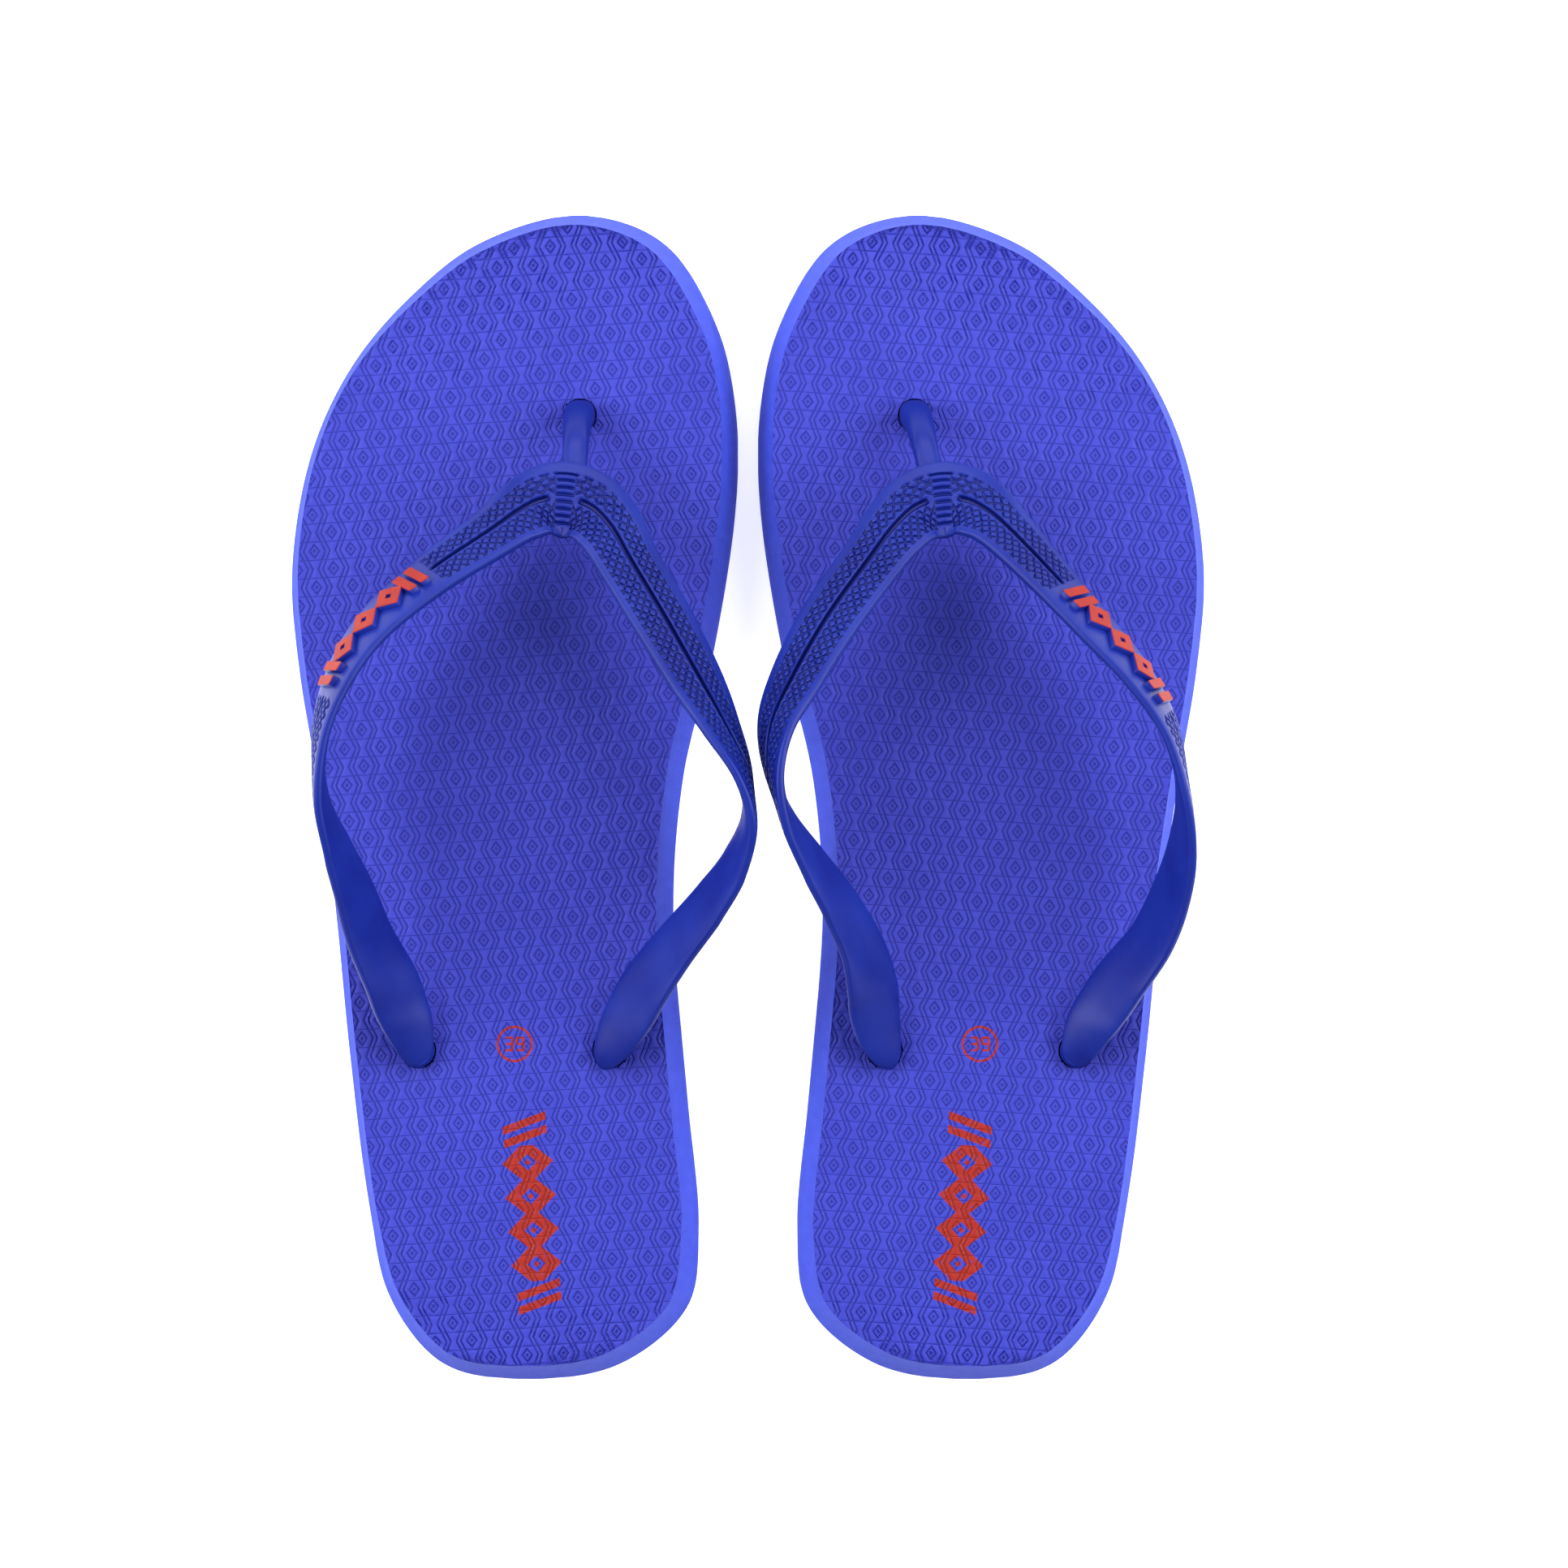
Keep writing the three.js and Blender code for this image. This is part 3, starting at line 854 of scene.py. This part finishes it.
class Ribbon:
    """The strap's centre line with its own axes, sampled evenly along its length."""

    def __init__(self, side):
        centres = [(side * o + lean(o, y), y, FOOTBED_TOP + h) for o, y, h, _, _ in STRAP_ROWS]
        shapes = [(roll, width) for *_, roll, width in STRAP_ROWS]
        line = spline(centres, SPLINE_STEPS, 0.5)
        shape = spline(shapes, SPLINE_STEPS, 0.0)
        walked = np.concatenate([[0], np.cumsum(np.linalg.norm(np.diff(line, axis=0), axis=1))])
        count = int(walked[-1] / STRAP_STEP)
        even = np.linspace(0, walked[-1], count)
        self.centre = np.stack([np.interp(even, walked, line[:, k]) for k in range(3)], axis=1)
        roll = np.radians(np.interp(even, walked, shape[:, 0]))[:, None]
        self.width = np.interp(even, walked, shape[:, 1]) - WIDTH_TRIM
        self.s = even - walked[APEX_ROW * SPLINE_STEPS]
        tangent = np.gradient(self.centre, axis=0)
        tangent /= np.linalg.norm(tangent, axis=1)[:, None]
        inward = np.stack([tangent[:, 1], -tangent[:, 0], np.zeros(count)], axis=1) * -side
        inward /= np.linalg.norm(inward, axis=1)[:, None]
        upward = np.cross(inward, tangent) * -side
        self.across = inward * np.cos(roll) + upward * np.sin(roll)
        self.face = upward * np.cos(roll) - inward * np.sin(roll)

    def half_thickness(self, w, width):
        """Half the strap's thickness at w across it: full in the middle, thin at the edges."""
        full = STRAP_THICKNESS * np.sqrt(np.minimum(1, width / FULL_WIDTH)) / 2
        return full * (1 - EDGE_THINNING * np.abs(2 * w / width) ** 3)

    def place(self, s, w, lift):
        """The point s along the strap, w across it and lift above its textured face."""
        def at(values):
            return np.stack([np.interp(s, self.s, values[:, k]) for k in range(3)], axis=-1)
        width = np.interp(s, self.s, self.width)
        out = self.half_thickness(w, width) + lift
        return at(self.centre) + at(self.across) * w[..., None] + at(self.face) * out[..., None]


def tube_faces(loops, sides):
    """The faces of a tube of equal loops, and the two that close its ends."""
    at = np.arange(loops * sides).reshape(loops, sides)
    nxt = np.roll(at, -1, axis=1)
    tube = np.stack([c.ravel() for c in (at[:-1], nxt[:-1], nxt[1:], at[1:])], axis=1)
    return [tube, at[0][::-1], at[-1]]


def ribbon_mesh(ribbon):
    """The ribbon's points, the (s, w, textured) mark at each of them, and its faces."""
    count = len(ribbon.s)
    u_face = np.linspace(-1, 1, FACE_POINTS)
    u_back = np.linspace(1, -1, BACK_POINTS)
    turn = np.linspace(0, math.pi, EDGE_POINTS + 2)[1:-1]
    width = ribbon.width[:, None]
    flat = 1 - EDGE_ROUND / width
    edge_half = ribbon.half_thickness(width * flat / 2, width)
    w_face = u_face * width * flat / 2
    s_face = np.repeat(ribbon.s[:, None], FACE_POINTS, axis=1)
    w_scaled = w_face * FULL_WIDTH / width
    v_face = ribbon.half_thickness(w_face, width) - strap_relief(s_face, w_scaled)
    w_back = u_back * width * flat / 2
    v_back = -ribbon.half_thickness(w_back, width)
    far = width * flat / 2 + np.sin(turn) * width * (1 - flat) / 2
    v_edge = edge_half * np.cos(turn)
    w_all = np.hstack([w_face, far, w_back, -far[:, ::-1]])
    v_all = np.hstack([v_face, v_edge, v_back, -v_edge])
    sides = w_all.shape[1]
    points = (
        ribbon.centre[:, None, :] + ribbon.across[:, None, :] * w_all[..., None]
        + ribbon.face[:, None, :] * v_all[..., None])
    textured = np.zeros((count, sides))
    textured[:, :FACE_POINTS] = 1.0
    marks = np.stack([
        np.repeat(ribbon.s[:, None], sides, axis=1), w_all * FULL_WIDTH / width, textured], axis=2)
    return points.reshape(-1, 3), marks.reshape(-1, 3), tube_faces(count, sides)


def plain(points, faces):
    """A mesh of plain surface: its ribbon marks are all 0."""
    return points, np.zeros_like(points), faces


def post_mesh(side):
    """The toe post: round in the sole, with a flattened front where it leans back to the apex."""
    slope = APEX_LEAN / (TOE_ANCHOR[1] - POST_ROWS[-1][1])
    centres = [
        (side * out + slope * (TOE_ANCHOR[1] - y), y, FOOTBED_TOP + h)
        for out, y, h, _, _ in POST_ROWS]
    line = spline(centres, POST_STEPS, 0.5)
    shape = spline([row[3:] for row in POST_ROWS], POST_STEPS, 0.0)
    tangent = np.gradient(line, axis=0)
    tangent /= np.linalg.norm(tangent, axis=1)[:, None]
    sideways = np.array([1.0, 0, 0])
    front = np.cross(tangent, sideways)
    front /= np.linalg.norm(front, axis=1)[:, None]
    angle = np.arange(POST_SIDES) / POST_SIDES * 2 * math.pi
    c, s = np.cos(angle), np.sin(angle)
    wide = np.sign(c) * np.abs(c) ** POST_SQUARENESS
    deep = np.sign(s) * np.abs(s) ** POST_SQUARENESS
    points = (
        line[:, None, :] + sideways * (wide[None, :, None] * shape[:, 0][:, None, None] / 2)
        + front[:, None, :] * (deep[None, :, None] * shape[:, 1][:, None, None] / 2))
    return plain(points.reshape(-1, 3), tube_faces(len(line), POST_SIDES))


def turned_mesh(centre, profile, sides=48):
    """A closed solid of revolution from (radius, height) points, bottom to top."""
    angle = np.arange(sides) / sides * 2 * math.pi
    rings = [
        np.stack([
            centre[0] + radius * np.cos(angle), centre[1] + radius * np.sin(angle),
            np.full(sides, height)], axis=1)
        for radius, height in profile]
    return plain(np.vstack(rings), tube_faces(len(profile), sides))


def plug_profile():
    """The plug under the sole: a disc with rounded edges and a shallow ring in its face."""
    r = PLUG_RADIUS
    low, high = PLUG_BOTTOM, PLUG_TOP
    return [
        (r - 5.6, low), (r - 3.6, low), (r - 3.4, low + 0.35), (r - 2.6, low + 0.35),
        (r - 2.4, low), (r - 0.9, low), (r - 0.3, low + 0.3), (r, low + 0.9),
        (r, high - 0.5), (r - 0.4, high)]


def peg_profile():
    """A strap end's peg, from inside its plug to just above the footbed."""
    return [
        (PEG_RADIUS, PLUG_BOTTOM + 1), (PEG_RADIUS, FOOTBED_TOP + PEG_SHOULDER),
        (PEG_TIP[0], FOOTBED_TOP + PEG_TIP[1])]


def strap(foot, side, ribbon, material):
    """The whole moulding: ribbon, toe post, three plugs and the pegs of the two strap ends."""
    parts = [ribbon_mesh(ribbon), post_mesh(side)]
    for out, y, _ in ANCHORS:
        parts.append(turned_mesh((side * out, y), plug_profile()))
    for out, y, _ in (OUTER_ANCHOR, INNER_ANCHOR):
        parts.append(turned_mesh((side * out, y), peg_profile()))
    all_points, all_marks, all_faces, start = [], [], [], 0
    for points, marks, faces in parts:
        all_faces += [face + start for face in facing_out(points, faces)]
        all_points.append(points)
        all_marks.append(marks)
        start += len(points)
    piece = build(
        f"{foot}_strap_moulding", np.vstack(all_points), all_faces, [material],
        [0] * len(all_faces), sharp=50.0)
    layer = piece.data.attributes.new("ribbon", "FLOAT_VECTOR", "POINT")
    layer.data.foreach_set("vector", np.vstack(all_marks).ravel())
    return piece


# --------------------------------------------------------------------------------------- badge

def rounded_shape(corners, cut=0.3):
    """An outline with each corner rounded off by three points."""
    corners = np.asarray(corners, float)
    before = np.roll(corners, 1, axis=0) - corners
    after = np.roll(corners, -1, axis=0) - corners
    before /= np.linalg.norm(before, axis=1)[:, None]
    after /= np.linalg.norm(after, axis=1)[:, None]
    inside = corners + (before + after) * cut * 0.3
    rounded = np.stack([corners + before * cut, inside, corners + after * cut], axis=1)
    return rounded.reshape(-1, 2)


def badge_shapes():
    """The raised shapes as (outline, hole or nothing) in (along, across), along from the middle."""
    shapes = []
    wide, tall = BADGE_LOZENGE_HALF
    for centre in BADGE_LOZENGES:
        lozenge = [
            (centre - wide, BADGE_SHIFT), (centre, BADGE_SHIFT - tall),
            (centre + wide, BADGE_SHIFT), (centre, BADGE_SHIFT + tall)]
        shapes.append((lozenge, BADGE_HOLE))
    low, high = BADGE_SHIFT - BADGE_BAR_HALF, BADGE_SHIFT + BADGE_BAR_HALF
    for place in BADGE_BARS:
        left, right = (place + edge for edge in BADGE_BAR_ENDS)
        bar = [
            (left, low), (right, low),
            (right + BADGE_BAR_SLANT, high), (left + BADGE_BAR_SLANT, high)]
        shapes.append((bar, None))
    return shapes


def prism(ribbon, corners, hole):
    """One raised shape on the strap's face: sloping sides up to a flat top, with its hole."""
    ring = rounded_shape(corners)
    centre = ring.mean(axis=0)

    def scaled(share):
        return centre + (ring - centre) * share

    shoulder = BADGE_RISE - BADGE_CHAMFER
    loops = [
        (ring, BADGE_ROOT), (ring, 0.0),
        (scaled(BADGE_TAPER[0]), shoulder), (scaled(BADGE_TAPER[1]), BADGE_RISE)]
    if hole:
        loops += [
            (scaled(hole * HOLE_FLARE), BADGE_RISE),
            (scaled(hole), shoulder), (scaled(hole), BADGE_ROOT)]
    points = [
        ribbon.place(flat[:, 0] - PLAQUE_MIDDLE, flat[:, 1], np.full(len(flat), lift))
        for flat, lift in loops]
    at = np.arange(len(loops) * len(ring)).reshape(len(loops), len(ring))
    nxt = np.roll(at, -1, axis=1)
    strips = [np.stack(c, axis=1) for c in zip(at[:-1], nxt[:-1], nxt[1:], at[1:])]
    if hole:
        closing = np.stack([at[-1], nxt[-1], nxt[0], at[0]], axis=1)
        slots = [FLANK, FLANK, TOP, TOP, TOP, FLANK, FLANK]
        return np.vstack(points), [*strips, closing], slots
    slots = [FLANK, FLANK, TOP, FLANK, TOP]
    return np.vstack(points), [*strips, at[0][::-1], at[-1]], slots


def badge(foot, ribbon, top, sides):
    """The raised red shapes, as one piece."""
    points, faces, slots, start = [], [], [], 0
    for corners, hole in badge_shapes():
        part, part_faces, part_slots = prism(ribbon, corners, hole)
        faces += [face + start for face in facing_out(part, part_faces)]
        slots += part_slots
        points.append(part)
        start += len(part)
    return build(f"{foot}_badge_motif", np.vstack(points), faces, [top, sides], slots)


# --------------------------------------------------------------------------------------- stage

def make_camera():
    data = bpy.data.cameras.new("camera")
    data.sensor_width = SENSOR
    data.lens = SENSOR * CAMERA[2] / PICTURE_WIDTH
    camera = bpy.data.objects.new("camera", data)
    camera.location = [c * MM for c in CAMERA]
    bpy.context.scene.collection.objects.link(camera)
    bpy.context.scene.camera = camera


def area_light(name, place, size, power):
    data = bpy.data.lights.new(name, "AREA")
    data.shape = "RECTANGLE"
    data.size, data.size_y = size
    data.energy = power
    light = bpy.data.objects.new(name, data)
    light.location = place
    direction = np.subtract(LIGHT_TARGET, place)
    light.rotation_mode = "QUATERNION"
    light.rotation_quaternion = Vector(direction).to_track_quat("-Z", "Y")
    bpy.context.scene.collection.objects.link(light)


def make_floor():
    mesh = bpy.data.meshes.new("floor")
    corners = [(x * FLOOR_HALF, y * FLOOR_HALF) for x, y in ((-1, -1), (1, -1), (1, 1), (-1, 1))]
    mesh.from_pydata([(x, y, -FLOOR_DROP) for x, y in corners], [], [(0, 1, 2, 3)])
    mesh.materials.append(floor_material())
    floor = bpy.data.objects.new("floor", mesh)
    bpy.context.scene.collection.objects.link(floor)


def make_light():
    world = bpy.data.worlds.new("studio")
    world.use_nodes = True
    background = world.node_tree.nodes["Background"]
    background.inputs["Color"].default_value = (1.0, 1.0, 1.0, 1.0)
    background.inputs["Strength"].default_value = WORLD_STRENGTH
    bpy.context.scene.world = world
    bpy.context.scene.view_settings.view_transform = "Standard"
    for softbox in SOFTBOXES:
        area_light(*softbox)


# ---------------------------------------------------------------------------------------- main

make_camera()
make_floor()
make_light()
WALL = wall_material()
TREAD = tread_material()
STRAP = strap_material()
BADGE_TOP = badge_material()
for foot, side in SIDES.items():
    ribbon = Ribbon(side)
    made = {
        "footbed": footbed(foot, side, WALL),
        "outsole": outsole(foot, side, WALL, TREAD),
        "strap": strap(foot, side, ribbon, STRAP),
        "strap_badge": badge(foot, ribbon, BADGE_TOP, STRAP),
    }
    for part, piece in made.items():
        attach(piece, f"{foot}_flip_flop")
        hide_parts(f"{foot}_{part}")
